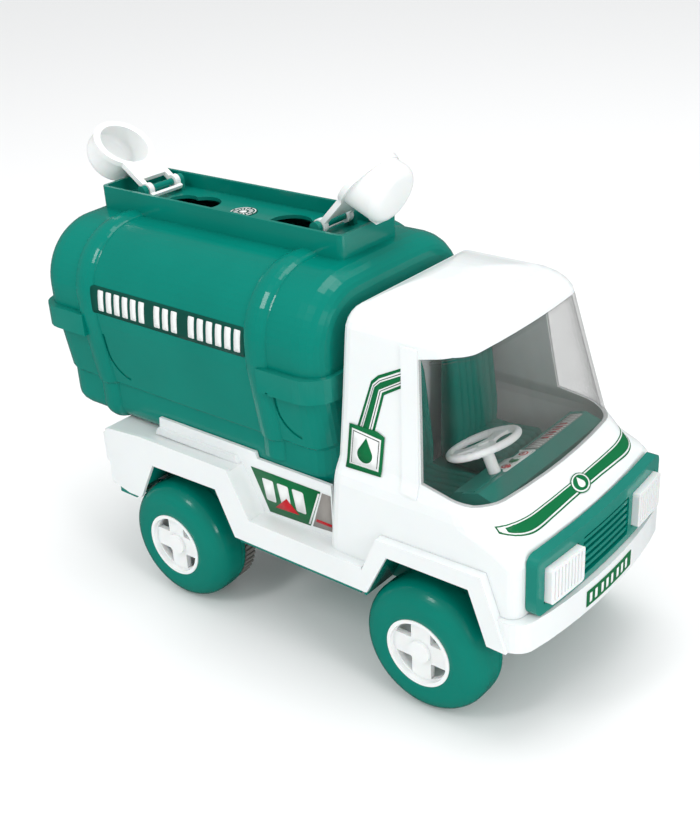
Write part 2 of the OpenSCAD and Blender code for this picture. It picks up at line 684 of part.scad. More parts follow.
module lid() color("white") {
    difference() {
        union() {
            translate([lid_reach, 0, -lid_t]) cylinder(r = lid_r, h = 2 * lid_t);
            translate([2.6, -12, -lid_t]) cube([lid_reach - 2.6, 24, 2 * lid_t]);
            intersection() {
                dome(dome_r, -20, dome_len, 5);
                translate([-far / 2, -far / 2, 0]) cube(far);
            }
            // finger tab at the dome's edge
            translate([lid_reach, 0, 0]) rotate([0, dome_tilt, 0])
                translate([-dome_r - 1.4, -3.5, dome_len - 9]) cube([6, 7, 5]);
        }
        dome(dome_r - 2, -30, dome_len - 2, 3.4);
        // window that the bar shows through
        translate([-far / 2, -8.4, -5]) cube([far / 2 + 7, 16.8, 10]);
        rod_y(0, 0, bar_r + fit_gap, -20, 20);
    }
    both_sides() difference() {
        union() {
            rod_y(0, 0, eye_r, 8.4, 12);
            translate([-5.6, 8.4, -1.3]) cube([5.6, 3.6, 2.6]);
            translate([0, 8.4, -1.3]) cube([5, 3.6, 2.6]);
        }
        rod_y(0, 0, bar_r + fit_gap, -20, 20);
    }
    translate([-5.6, -8.5, -1.3]) cube([1.6, 17, 2.6]);
}

module rear_lid() centred() translate([rear_hinge_x, 0, hinge_z]) rotate([0, -rear_open, 0]) lid();
module front_lid() centred() translate([front_hinge_x, 0, hinge_z]) mirror([1, 0, 0])
    rotate([0, -front_open, 0]) lid();

// ---- front end -------------------------------------------------------------------------------

// Front skin of the nose in plan, moved forwards by f
function nose_plan(f, w) = [for (i = [-6:6]) let (y = i / 6 * w) [162 + f + 4 * (1 - pow(y / 68, 2)), y]];

module nose_slab(f0, f1, w, z0, z1) {
    translate([0, 0, z0]) linear_extrude(z1 - z0)
        polygon(concat(nose_plan(f1, w), [for (i = [12:-1:0]) nose_plan(f0, w)[i]]));
}

module grille() centred() color("seagreen") {
    difference() {
        intersection() {
            nose_slab(0.15, 6, 61, 70, 106);
            cross_block(arcs_frame(61, 71.2, 104, 5), 150, 190);
        }
        // panel behind the louvres
        intersection() {
            nose_slab(2.5, 20, 23, 75, 97);
            cross_block(arcs_frame(23, 75, 97, 1.5), 150, 190);
        }
        both_sides() translate([150, 27.1, 76.6]) cube([40, 27.8, 20]);
    }
    for (i = [0:4]) intersection() {
        nose_slab(2.4, 5.4, 23.2, 70, 106);
        translate([150, -24, 77.2 + i * 4]) cube([40, 48, 2]);
    }
}

module headlight() color("whitesmoke") {
    difference() {
        intersection() {
            nose_slab(0.3, 9.6, 57, 70, 106);
            cross_block([for (p = arcs_frame(13.7, 76.8, 96.4, 2)) [p.x + 41, p.y]], 150, 190);
        }
        for (i = [0:8]) translate([0, 41 + (i - 4) * 2.7, 86.5]) intersection() {
            translate([0, -0.5, -8]) cube([190, 1, 16]);
            translate([0, -41 - (i - 4) * 2.7, -86.5]) nose_slab(9, 12, 60, 70, 106);
        }
    }
}
module headlight_left() centred() headlight();
module headlight_right() centred() mirror([0, 1, 0]) headlight();

// ---- cab interior ----------------------------------------------------------------------------

module cab_floor() centred() color("seagreen") {
    translate([61, -62, 87]) cube([98, 124, 2]);
    both_sides() translate([126, 57.9, 88.9]) cube([20, 2, 10]);
}

module dashboard() centred() color("seagreen") {
    difference() {
        union() {
            side_block([[118, 89.1], [139, 89.1], [142.5, 112], [141, 119], [131, 122], [122, 119],
                [117, 108]], -52, 50);
            // cowl in front of the driver
            side_block([[112, 89.1], [132, 89.1], [133, 116], [128, 121.5], [116, 117], [110, 104]], -50,
                -12);
        }
        translate([steer_x, steer_y, steer_z]) rotate([0, steer_tilt, 0]) translate([0, 0, -60])
            cylinder(r = 3 + fit_gap, h = 70);
        side_block([[120, 80], [137, 80], [138, 108], [124, 112], [120, 104]], -10, 48);
    }
}

module seat(y0, y1) color("seagreen") {
    w = y1 - y0;
    translate([0, y0, 0]) {
        difference() {
            union() {
                side_block([[70, 89.1], [104, 89.1], [107, 100], [105, 106], [82, 103.5], [70, 104]], 0, w);
                side_block([[64, 89.1], [76, 89.1], [77.5, 108], [72.5, 162], [69, 166], [64, 166]], 0, w);
            }
            for (i = [0:4]) translate([90, 6 + i * (w - 12) / 4 - 0.7, 102.6]) rotate([0, -6, 0])
                cube([16, 1.4, 8]);
            for (i = [0:4]) translate([72, 6 + i * (w - 12) / 4 - 0.7, 116]) rotate([0, -5, 0])
                cube([8, 1.4, 38]);
        }
    }
}
module driver_seat() centred() seat(-52, -9);
module passenger_seat() centred() seat(9, 52);

module steering_wheel() centred() color("white") {
    translate([steer_x, steer_y, steer_z]) rotate([0, steer_tilt, 0]) {
        rotate_extrude($fn = 96) translate([steer_r - 2, 0]) circle(r = 2, $fn = 24);
        translate([0, 0, -3]) cylinder(r = 6, h = 3.5);
        difference() {
            for (a = [90, 210, 330]) rotate(a) translate([0, -2.6, -1.8]) cube([steer_r - 2, 5.2, 2.4]);
            translate([0, 0, -3]) cylinder(r = 5.9, h = 3.4);
        }
        translate([0, 0, -36]) cylinder(r = 3, h = 33.1);
    }
}

// ---- stickers --------------------------------------------------------------------------------

film = 0.25;

module number_plate() centred() color("darkgreen") {
    translate([0, 0, 57.5]) linear_extrude(9) polygon(concat(
        [for (i = [-2:2]) let (y = i * 11.25) [175.03 + film - 5.5 * pow(y / 60, 2), y]],
        [for (i = [2:-1:-2]) let (y = i * 11.25) [175.01 - 5.5 * pow(y / 60, 2), y]]));
}

module tank_labels() centred() color("darkgreen")
    both_sides() side_block([[-112, 166], [-1, 166], [-1, 176], [-112, 176]], tank_half + 0.05,
        tank_half + 0.05 + film);

module chassis_decals() centred() color("green")
    both_sides() side_block([[-1.5, 73], [46.6, 73], [46.6, 94], [-1.5, 94]], 60.52, 60.52 + film);

module cab_decals() centred() color("green")
    both_sides() intersection() {
        difference() {
            loft(cab_rings(-0.3, 71));
            loft(cab_rings(-0.06, 60));
        }
        side_block([[63, 122], [85, 122.5], [85.5, 143], [81, 143.5], [84.5, 165], [90.6, 168.5],
            [90.6, 178], [79, 172.5],
            [73.5, 144], [63, 143.5]], 20, far);
    }

module tray_emblem() centred() color("black") translate([-57, 0, floor_z + 0.02]) cylinder(r = 8, h = film);

module instrument_sticker() centred() color("whitesmoke")
    side_block([[123.4, 120.1], [130.6, 122.5], [130.5, 122.8], [123.3, 120.4]], -9, 48);

cab_shell();
windshield();
chassis_body();
underbody();
tank_upper_shell();
tank_lower_shell();
grille();
headlight_left();
headlight_right();
dashboard();
cab_floor();
driver_seat();
passenger_seat();
steering_wheel();
rear_hinge_bar();
front_hinge_bar();
rear_lid();
front_lid();
front_axle();
rear_axle();
front_left_tyre();
front_right_tyre();
rear_left_tyre();
rear_right_tyre();
front_left_rim();
front_right_rim();
rear_left_rim();
rear_right_rim();
traction_ring_left();
traction_ring_right();
motor_case_left();
motor_case_right();
axle_gear();
idler_shaft();
idler_gear();
flywheel_shaft();
flywheel_pinion();
flywheel();
chassis_screws();
motor_screws();
number_plate();
tank_labels();
chassis_decals();
cab_decals();
tray_emblem();
instrument_sticker();
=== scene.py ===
import json
import math

import bmesh
import bpy
from mathutils import Matrix, Vector
from mathutils.bvhtree import BVHTree


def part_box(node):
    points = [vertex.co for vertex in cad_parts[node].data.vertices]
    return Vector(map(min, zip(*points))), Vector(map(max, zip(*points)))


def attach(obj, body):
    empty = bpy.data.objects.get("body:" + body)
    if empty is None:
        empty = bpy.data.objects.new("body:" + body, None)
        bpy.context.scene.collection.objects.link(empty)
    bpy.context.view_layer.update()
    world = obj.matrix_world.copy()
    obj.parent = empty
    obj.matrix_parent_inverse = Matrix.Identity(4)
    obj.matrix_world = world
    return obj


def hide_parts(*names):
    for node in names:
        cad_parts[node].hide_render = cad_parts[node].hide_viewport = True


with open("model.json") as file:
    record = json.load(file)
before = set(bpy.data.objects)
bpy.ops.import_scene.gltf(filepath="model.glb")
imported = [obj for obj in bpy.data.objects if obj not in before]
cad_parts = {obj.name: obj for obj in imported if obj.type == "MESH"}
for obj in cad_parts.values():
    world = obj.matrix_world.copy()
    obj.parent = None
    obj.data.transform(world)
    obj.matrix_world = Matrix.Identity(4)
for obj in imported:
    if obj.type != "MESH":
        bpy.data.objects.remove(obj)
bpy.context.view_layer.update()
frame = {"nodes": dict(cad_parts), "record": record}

NODES = frame["nodes"]
RECORD = frame["record"]
SLOT_OF = {s["node"]: s["material_slot"] for s in RECORD["subparts"]}
BODY = "truck_body"
MM = 0.001
# the front axle's place in the design's own millimetres
AXLE_X = 110
AXLE_Z = 34


def centre(name):
    """The middle of a node's box."""
    low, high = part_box(name)
    return (Vector(low) + Vector(high)) / 2


X0 = centre("front_axle").x - AXLE_X * MM
Z0 = centre("front_axle").z - AXLE_Z * MM


def pt(x, y, z):
    """A point given in the design's millimetres."""
    return Vector((x * MM + X0, y * MM, z * MM + Z0))


# ---------------------------------------------------------------- materials

def node(tree, kind, **settings):
    """A shader node with its settings."""
    made = tree.nodes.new(kind)
    for key, value in settings.items():
        setattr(made, key, value)
    return made


def noise(tree, coords, scale, detail=2):
    made = node(tree, "ShaderNodeTexNoise")
    made.inputs["Scale"].default_value = scale
    made.inputs["Detail"].default_value = detail
    tree.links.new(coords, made.inputs["Vector"])
    return made.outputs["Fac"]


def ramp(tree, value, start, end, start_colour, end_colour):
    """A colour ramp with two stops."""
    made = node(tree, "ShaderNodeValToRGB")
    first, last = made.color_ramp.elements
    first.position = start
    last.position = end
    first.color = start_colour
    last.color = end_colour
    tree.links.new(value, made.inputs["Fac"])
    return made.outputs["Color"]


def spread(tree, value, start, end, low, high):
    """Maps value from start..end to low..high."""
    made = node(tree, "ShaderNodeMapRange")
    made.inputs["From Min"].default_value = start
    made.inputs["From Max"].default_value = end
    made.inputs["To Min"].default_value = low
    made.inputs["To Max"].default_value = high
    tree.links.new(value, made.inputs["Value"])
    return made.outputs["Result"]


def bumped(tree, height, strength, distance):
    """A bump node over a height."""
    made = node(tree, "ShaderNodeBump")
    made.inputs["Strength"].default_value = strength
    made.inputs["Distance"].default_value = distance
    tree.links.new(height, made.inputs["Height"])
    return made


def scaled(colour, factor, add=0.0):
    """An opaque colour with each channel scaled, raised and kept between 0 and 1."""
    return [min(1, max(0, c * factor + add)) for c in colour] + [1]


def plastic(name, colour, rough=0.22, coat=0.5, coat_rough=0.06, vary=0.05, grain=0.02,
            grain_scale=900, wear=0.12, metal=0.0, sub=0.0, spec=0.3):
    """Moulded plastic: cloudy colour, fine moulding texture, handling marks and paler edges."""
    mat = bpy.data.materials.new(name)
    mat.use_nodes = True
    tree = mat.node_tree
    shader = tree.nodes["Principled BSDF"]
    shader.inputs["Metallic"].default_value = metal
    shader.inputs["Coat Weight"].default_value = coat
    shader.inputs["Coat Roughness"].default_value = coat_rough
    shader.inputs["IOR"].default_value = 1.49
    shader.inputs["Specular IOR Level"].default_value = 0.5 if metal else spec
    shader.inputs["Subsurface Weight"].default_value = sub
    shader.inputs["Subsurface Scale"].default_value = 0.002
    coords = node(tree, "ShaderNodeTexCoord").outputs["Object"]
    cloud = noise(tree, coords, 22, 3)
    clouded = ramp(tree, cloud, 0.3, 0.7, scaled(colour, 1 - vary), scaled(colour, 1 + vary))
    shape = node(tree, "ShaderNodeNewGeometry")
    worn = ramp(tree, shape.outputs["Pointiness"], 0.53, 0.64, (0, 0, 0, 1), (wear, wear, wear, 1))
    mix = node(tree, "ShaderNodeMix", data_type="RGBA")
    tree.links.new(worn, mix.inputs[0])
    tree.links.new(clouded, mix.inputs[6])
    mix.inputs[7].default_value = scaled(colour, 0.6, 0.4)
    tree.links.new(mix.outputs[2], shader.inputs["Base Color"])
    # handling marks: long, thin streaks that only change the gloss
    stretch = node(tree, "ShaderNodeMapping")
    stretch.inputs["Scale"].default_value = (9, 120, 140)
    stretch.inputs["Rotation"].default_value = (0.3, 0.5, 0.2)
    tree.links.new(coords, stretch.inputs["Vector"])
    streak = noise(tree, stretch.outputs["Vector"], 3, 4)
    gloss = spread(tree, streak, 0.35, 0.75, rough * 0.95, min(1, rough * 1.12))
    tree.links.new(gloss, shader.inputs["Roughness"])
    # a slow wave in the moulding under a fine grain
    wave = bumped(tree, noise(tree, coords, 30), 0.05, 0.002)
    fine = bumped(tree, noise(tree, coords, grain_scale), grain, 0.0006)
    tree.links.new(wave.outputs["Normal"], fine.inputs["Normal"])
    tree.links.new(fine.outputs["Normal"], shader.inputs["Normal"])
    return mat


def tinted(name, colour, alpha):
    """Smoke-tinted clear plastic: a little dusty, and darker where it is seen edge on."""
    mat = plastic(name, colour, rough=0.05, coat=0.3, coat_rough=0.02, vary=0.1, grain=0.004, wear=0.1)
    tree = mat.node_tree
    coords = node(tree, "ShaderNodeTexCoord").outputs["Object"]
    dust = spread(tree, noise(tree, coords, 60, 6), 0.4, 0.8, 0.0, 0.03)
    facing = node(tree, "ShaderNodeLayerWeight")
    facing.inputs["Blend"].default_value = 0.4
    tint = spread(tree, facing.outputs["Facing"], 0.12, 0.7, alpha, alpha * 9)
    total = node(tree, "ShaderNodeMath", operation="ADD")
    tree.links.new(tint, total.inputs[0])
    tree.links.new(dust, total.inputs[1])
    tree.links.new(total.outputs["Value"], tree.nodes["Principled BSDF"].inputs["Alpha"])
    return mat


def ink(name, colour, rough=0.4, coat=0.15, vary=0.1, spec=0.2):
    """Printed ink on a film: plastic without worn edges."""
    return plastic(name, colour, rough=rough, coat=coat, vary=vary, wear=0.0, spec=spec)


MAT = {
    "white_body": plastic("ivory_plastic", (0.78, 0.81, 0.81), rough=0.3, coat=0.25, vary=0.015,
                          sub=0.08, grain=0.0, wear=0.0),
    "white_fittings": plastic("white_plastic", (0.82, 0.84, 0.835), rough=0.32, coat=0.2, vary=0.02,
                              sub=0.1, grain=0.0, wear=0.0),
    "lamp": plastic("milky_plastic", (0.8, 0.82, 0.82), rough=0.22, coat=0.4, vary=0.03, sub=0.2,
                    grain=0.0, wear=0.0),
    "green_body": plastic("green_plastic", (0.0, 0.195, 0.15), rough=0.2, coat=0.3, coat_rough=0.05,
                          vary=0.05, wear=0.03, spec=0.2),
    "tyre": plastic("green_tyre_plastic", (0.0, 0.18, 0.135), rough=0.24, coat=0.25, coat_rough=0.08,
                    vary=0.06, grain=0.03, wear=0.03, spec=0.2),
    "traction_rubber": plastic("ribbed_rubber", (0.12, 0.105, 0.09), rough=0.75, coat=0.0, vary=0.25,
                               grain=0.3, grain_scale=500, wear=0.25),
    "motor_case": plastic("dark_case_plastic", (0.03, 0.03, 0.032), rough=0.55, coat=0.0, grain=0.25),
    "gear_plastic": plastic("nylon", (0.72, 0.68, 0.55), rough=0.45, coat=0.0, grain=0.05, sub=0.2),
    "bright_steel": plastic("drawn_steel", (0.55, 0.55, 0.56), rough=0.28, coat=0.0, metal=1.0,
                            grain=0.1, wear=0.0),
    "flywheel_steel": plastic("oiled_steel", (0.24, 0.23, 0.22), rough=0.38, coat=0.0, metal=1.0,
                              vary=0.2, grain=0.15, wear=0.0),
    "smoke_glazing": tinted("smoke_plastic", (0.16, 0.16, 0.15), 0.04),
    "green_print": ink("green_print", (0.0, 0.15, 0.045), vary=0.04),
    "dark_print": ink("dark_print", (0.0, 0.07, 0.05)),
    "white_print": ink("white_print", (0.8, 0.82, 0.81), coat=0.1, vary=0.02),
    "red_print": ink("red_print", (0.5, 0.012, 0.02), coat=0.1, vary=0.05),
    "grey_print": ink("grey_print", (0.3, 0.28, 0.26), rough=0.45, coat=0.1, vary=0.06),
    "black_print": ink("black_print", (0.01, 0.015, 0.012), rough=0.45, coat=0.1),
}


# ---------------------------------------------------------------- helpers

def smooth(mesh, angle):
    """Smooth shading that stays sharp at edges over the angle, in degrees."""
    mesh.polygons.foreach_set("use_smooth", [True] * len(mesh.polygons))
    mesh.set_sharp_from_angle(angle=math.radians(angle))


def soften(obj, width, angle):
    """Rounds an object's sharp edges and shades the rest smoothly."""
    smooth(obj.data, angle)
    if width:
        bevel = obj.modifiers.new("edge", "BEVEL")
        bevel.limit_method = "ANGLE"
        bevel.angle_limit = math.radians(angle)
        bevel.width = width * MM
        bevel.segments = 3
        bevel.harden_normals = True


def piece(name, mesh, body, material, replaces=(), sharp=40):
    """A visible piece on a body, with a material of its own."""
    obj = bpy.data.objects.new(name, mesh)
    bpy.context.scene.collection.objects.link(obj)
    mesh.materials.append(MAT[material])
    smooth(mesh, sharp)
    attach(obj, body)
    if replaces:
        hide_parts(*replaces)
    return obj


def printed(name, mesh, material, thick, replaces=()):
    """A printed film on the truck's body, thick mm thick."""
    obj = piece(name, mesh, BODY, material, replaces)
    layer = obj.modifiers.new("film", "SOLIDIFY")
    layer.thickness = thick * MM
    layer.offset = 1


def mesh_of(name, verts, faces):
    mesh = bpy.data.meshes.new(name)
    mesh.from_pydata([tuple(v) for v in verts], [], faces)
    mesh.validate()
    mesh.update()
    return mesh


def joined(parts):
    """Several (verts, faces) lists as one."""
    verts, faces = [], []
    for part_verts, part_faces in parts:
        start = len(verts)
        verts += part_verts
        faces += [[start + i for i in face] for face in part_faces]
    return verts, faces


def surface(*names):
    """A ray-cast tree over CAD nodes."""
    meshes = [NODES[name].data for name in names]
    parts = [([v.co.copy() for v in m.vertices], [p.vertices for p in m.polygons]) for m in meshes]
    return BVHTree.FromPolygons(*joined(parts))


def film(name, outline, tree, place, direction, lift, material, step, replaces=()):
    """A printed film: a flat outline cut into small cells and laid on a surface along one direction.

    place(u, v) gives the point that a cell starts from, in metres; lift and step are in mm."""
    bm = bmesh.new()
    bm.faces.new([bm.verts.new((u, v, 0)) for u, v in outline])
    for axis in (0, 1):
        low = min(p[axis] for p in outline)
        high = max(p[axis] for p in outline)
        for k in range(1, int((high - low) / step) + 1):
            at = [0, 0, 0]
            at[axis] = low + k * step
            normal = [0, 0, 0]
            normal[axis] = 1
            geom = bm.verts[:] + bm.edges[:] + bm.faces[:]
            bmesh.ops.bisect_plane(bm, geom=geom, plane_co=at, plane_no=normal, dist=1e-4)
    bmesh.ops.triangulate(bm, faces=bm.faces[:])
    way = Vector(direction)
    missed = []
    for v in bm.verts:
        hit = tree.ray_cast(place(v.co.x, v.co.y), way)[0]
        if hit is None:
            missed.append(v)
        else:
            v.co = hit - way * (lift * MM)
    if missed:
        bmesh.ops.delete(bm, geom=missed, context="VERTS")
    bmesh.ops.recalc_face_normals(bm, faces=bm.faces[:])
    mesh = bpy.data.meshes.new(name)
    bm.to_mesh(mesh)
    bm.free()
    if sum(p.normal.dot(way) * p.area for p in mesh.polygons) > 0:
        mesh.flip_normals()
    printed(name, mesh, material, 0.08, replaces)


def rounded(points, radius, n=4):
    """A polygon with its corners rounded, n stretches to a corner."""
    out = []
    for i, p in enumerate(points):
        before, corner, after = Vector(points[i - 1]), Vector(p), Vector(points[(i + 1) % len(points)])
        back, on = before - corner, after - corner
        reach = min(radius, back.length * 0.45, on.length * 0.45)
        start, end = corner + back.normalized() * reach, corner + on.normalized() * reach
        for k in range(n + 1):
            q = k / n
            out.append(tuple(start * (1 - q) ** 2 + corner * 2 * q * (1 - q) + end * q ** 2))
    return out


def inset(points, t):
    """A closed outline that runs anticlockwise, moved inwards by t."""
    out = []
    n = len(points)
    for i in range(n):
        a = Vector(points[i]) - Vector(points[i - 1])
        b = Vector(points[(i + 1) % n]) - Vector(points[i])
        na = Vector((-a.y, a.x)).normalized()
        nb = Vector((-b.y, b.x)).normalized()
        out.append(Vector(points[i]) + (na + nb) * (t / max(0.35, 1 + na.dot(nb))))
    return out


def disc(cu, cv, ru, rv=None, n=40, start=0.0, end=360.0):
    """A circle, an ellipse or an arc, with angles in degrees."""
    rv = rv or ru
    full = abs(end - start) >= 360
    angles = [math.radians(start + (end - start) * k / n) for k in range(n if full else n + 1)]
    return [(cu + ru * math.cos(a), cv + rv * math.sin(a)) for a in angles]


def turned(u, v, angle):
    """A point turned about zero, with the angle in radians."""
    return u * math.cos(angle) - v * math.sin(angle), u * math.sin(angle) + v * math.cos(angle)


# ---------------------------------------------------------------- CAD nodes

# bevel width in mm and the angle that it starts from, by node or by a word in the node's name
EDGE = {
    "cab_shell": (0.5, 30), "chassis_body": (0.8, 28), "underbody": (0.3, 30), "grille": (0.5, 32),
    "headlight": (0.5, 32), "tank_upper": (0.7, 36), "tank_lower": (0.7, 36), "dashboard": (1.2, 28),
    "cab_floor": (0.5, 30), "_lid": (0.35, 32), "windshield": (0, 35), "gear": (0, 34),
    "pinion": (0, 34), "tyre": (0, 34), "traction": (0.15, 30), "_rim": (0.7, 34),
}
PLAIN_EDGE = (0.25, 34)
for name, obj in NODES.items():
    obj.data.materials.clear()
    obj.data.materials.append(MAT[SLOT_OF[name]])
    soften(obj, *next((edge for word, edge in EDGE.items() if word in name), PLAIN_EDGE))


# ---------------------------------------------------------------- stickers

CAB = surface("cab_shell")
TANK = surface("tank_upper_shell", "tank_lower_shell")
DASH = surface("dashboard")
PLATE = surface("number_plate")
EMBLEM = surface("tray_emblem")
SIDES = ((-1, "right"), (1, "left"))
# film pieces start their rays from here, in the design's millimetres
BESIDE = 90
AHEAD = 200
OVER_CAB = 190
OVER_DASH = 150
OVER_TRAY = 240


def side_film(name, outline, tree, side, lift, material, step, replaces=()):
    film(name, outline, tree, lambda u, v: pt(u, side * BESIDE, v), (0, -side, 0), lift, material,
         step, replaces)


def bar(x0, z0, x1, z1, lean):
    """A bar from its lower left to its upper right corner, its top shifted by lean."""
    return [(x0, z0), (x1, z0), (x1 + lean, z1), (x0 + lean, z1)]


def taken_by(side, node_name):
    """The CAD node that a decal stands for is named once, by the pieces on the right side."""
    return (node_name,) if side < 0 else ()


def tank_labels():
    """Three groups of plain slanted bars on a dark outline, one row on each side."""
    low, high, pitch = 165.4, 181.6, 6.6
    frame_line = rounded([(-115, low), (1, low), (1, high), (-115, high)], 2)
    for side, tag in SIDES:
        side_film("label_edge_" + tag, frame_line, TANK, side, 0.14, "dark_print", 3.0,
                  taken_by(side, "tank_labels"))
        for group, (start, count) in enumerate(((-111, 6), (-66, 3), (-40, 6))):
            for k in range(count):
                x = start + k * pitch
                shape = rounded(bar(x, low + 2, x + 4.4, high - 2, 1.2), 0.6, 2)
                side_film(f"label_bar_{tag}_{group}_{k}", shape, TANK, side, 0.26,
                          "white_print", 3.0)


def flat(name, outline, side, lift, material, replaces=()):
    """A film on the chassis's flat side."""
    side_y = 60.5
    bm = bmesh.new()
    face = bm.faces.new([bm.verts.new(pt(u, side * (side_y + lift), v)) for u, v in outline])
    bmesh.ops.triangulate(bm, faces=[face])
    mesh = bpy.data.meshes.new(name)
    bm.to_mesh(mesh)
    bm.free()
    if mesh.polygons[0].normal.y * side < 0:
        mesh.flip_normals()
    printed(name, mesh, material, 0.06, replaces)


def chassis_decals():
    """A green panel with three plain blocks over a red triangle, and a grey panel with a red line."""
    for side, tag in SIDES:
        flat("panel_green_" + tag, [(-9, 97), (40, 97), (31.5, 73.6), (2.4, 72.4)], side, 0.1,
             "green_print", taken_by(side, "chassis_decals"))
        flat("panel_line_" + tag, [(38.2, 95.6), (39.4, 95.6), (31.4, 74.6), (30.2, 74.6)], side, 0.18,
             "white_print")
        flat("panel_grey_" + tag, [(41, 96.6), (46.6, 96.6), (46.6, 75), (33, 74)], side, 0.1,
             "grey_print")
        for k in range(3):
            x = -1.5 + k * 10.6
            block = rounded([(x, 92.5), (x + 2.6, 79.6), (x + 9.4, 79.6), (x + 8, 92.5)], 1.2, 3)
            flat(f"panel_bar_{tag}_{k}", block, side, 0.18, "white_print")
        flat("panel_red_" + tag, [(7, 76.8), (24, 77.6), (15.5, 84.8)], side, 0.26, "red_print")
        flat("panel_red_line_" + tag, bar(35.6, 77.6, 46.2, 79.4, 0.5), side, 0.18, "red_print")


# the bent stick and the badge below it, from the lowest film to the topmost
CAB_LAYERS = (
    ("stick_edge", "green_print", [(67.5, 143), (78, 143), (82.6, 163), (92, 168.6), (92, 178.5),
                                   (78.5, 171.8), (74.6, 168)]),
    ("stick_white", "white_print", [(69, 143), (76.6, 143), (81.4, 164), (92, 170.2), (92, 177),
                                    (79.3, 170.4), (75.6, 166.8)]),
    ("stick_pin", "black_print", [(69.9, 143), (75.7, 143), (80.6, 164.4), (92, 171.1), (92, 176.1),
                                  (79.7, 169.7), (76.2, 166.3)]),
    ("stick_line", "white_print", [(70.3, 143), (75.3, 143), (80.2, 164.6), (92, 171.6), (92, 175.6),
                                   (79.9, 169.4), (76.5, 166)]),
    ("stick_field", "green_print", [(71, 143), (74.6, 143), (79.6, 165), (92, 172.3), (92, 174.9),
                                    (80.3, 168.9), (77, 165.8)]),
    ("badge_edge", "green_print", [(62.5, 121.6), (84, 122.2), (84.6, 142.4), (80, 144.2), (63, 144.2)]),
    ("badge_white", "white_print", [(64.4, 123.4), (82.2, 124), (82.7, 140.6), (64.8, 142.3)]),
    ("badge_pin", "black_print", [(65.3, 124.4), (81.3, 124.9), (81.8, 139.7), (65.7, 141.3)]),
    ("badge_field", "white_print", [(65.7, 124.8), (80.9, 125.3), (81.4, 139.3), (66.1, 140.9)]),
    ("badge_drop", "green_print", disc(73.5, 130.6, 4.6, 4.2, 22, 150, 390) + [(73.9, 139.4)]),
)


def cab_decals():
    """The films of CAB_LAYERS on both doors, one step of lift apart."""
    lowest, rise = 0.12, 0.08
    for side, tag in SIDES:
        for k, (name, material, outline) in enumerate(CAB_LAYERS):
            side_film(f"{name}_{tag}", outline, CAB, side, lowest + k * rise, material, 4.0,
                      taken_by(side, "cab_decals") if k == 0 else ())


def on_cowl(name, outline, lift, material):
    film(name, outline, CAB, lambda u, v: pt(u, v, OVER_CAB), (0, 0, -1), lift, material, 1.3)


def cowl_decal():
    """The bowed band across the nose with swept-back tips, and a round emblem near its middle."""
    tip_y = 61.8

    def rear(y):
        q = abs(y) / tip_y
        return 154.4 - 3.5 * q ** 2 - 8.2 * q ** 9

    def front(y):
        q = abs(y) / tip_y
        return 160 - 1.4 * q ** 2 - 15.9 * q ** 11

    stations = [tip_y * k / 30 for k in range(-30, 31)]
    for name, margin, lift, material in (("edge", 0.0, 0.12, "green_print"),
                                         ("line", 0.5, 0.32, "white_print"),
                                         ("field", 1.05, 0.5, "green_print")):
        # each layer ends before the tip gets too narrow for its margin
        kept = [y for y in stations if front(y) - rear(y) > 2.5 * margin + 0.05]
        outline = [(front(y), y) for y in kept] + [(rear(y), y) for y in reversed(kept)]
        on_cowl("cowl_band_" + name, inset(outline, margin), lift, material)
    # the nose slopes, so a circle seen from ahead is an ellipse in plan
    x, y, slope = 157.2, -1.5, 0.56
    for name, radius, lift, material in (("edge", 7.2, 0.6, "green_print"),
                                         ("line", 6.5, 0.68, "white_print"),
                                         ("field", 5.5, 0.76, "green_print")):
        on_cowl("cowl_emblem_" + name, disc(x, y, radius * slope, radius), lift, material)
    drop = disc(x + 0.6, y, 1.5, 2.5, 22, -120, 120) + [(x - 2.5, y)]
    on_cowl("cowl_emblem_drop", drop, 0.84, "white_print")


def on_dash(name, outline, lift, material, replaces=()):
    """A film on the dashboard; its outline is in plan, with y first and x second."""
    film(name, outline, DASH, lambda u, v: pt(v, u, OVER_DASH), (0, 0, -1), lift, material,
         3.0, replaces)


def dash_films():
    """Two dials and an oval gauge before the driver, and a vent strip with red marks beside them."""
    dial_x = 127.2
    panel = rounded([(-27.5, 120.8), (-0.6, 120.8), (-0.6, 131.6), (-27.5, 131)], 1.2, 3)
    on_dash("instrument_panel", panel, 0.1, "white_print", ("instrument_sticker",))
    for k, y in enumerate((-21.5, -5.5)):
        on_dash(f"dial_ring_{k}", disc(y, dial_x, 2.5), 0.2, "red_print")
        on_dash(f"dial_face_{k}", disc(y, dial_x, 1.6), 0.3, "white_print")
        on_dash(f"dial_hand_{k}", disc(y, dial_x, 0.9), 0.4, "red_print")
    on_dash("gauge_oval", disc(-13.5, dial_x, 4.2, 2.3), 0.2, "green_print")
    on_dash("vent_strip", [(0.5, 124), (46, 124), (46, 131.6), (0.5, 131.6)], 0.1, "grey_print")
    for k in range(19):
        y = 1.4 + k * 2.35
        on_dash(f"vent_line_{k}", bar(y, 124.4, y + 0.9, 131.2, 1.0), 0.2, "white_print")
    for k in range(6):
        y = 13 + k * 3.6
        on_dash(f"vent_mark_{k}", bar(y, 126, y + 1.7, 129.8, 0.6), 0.3, "red_print")


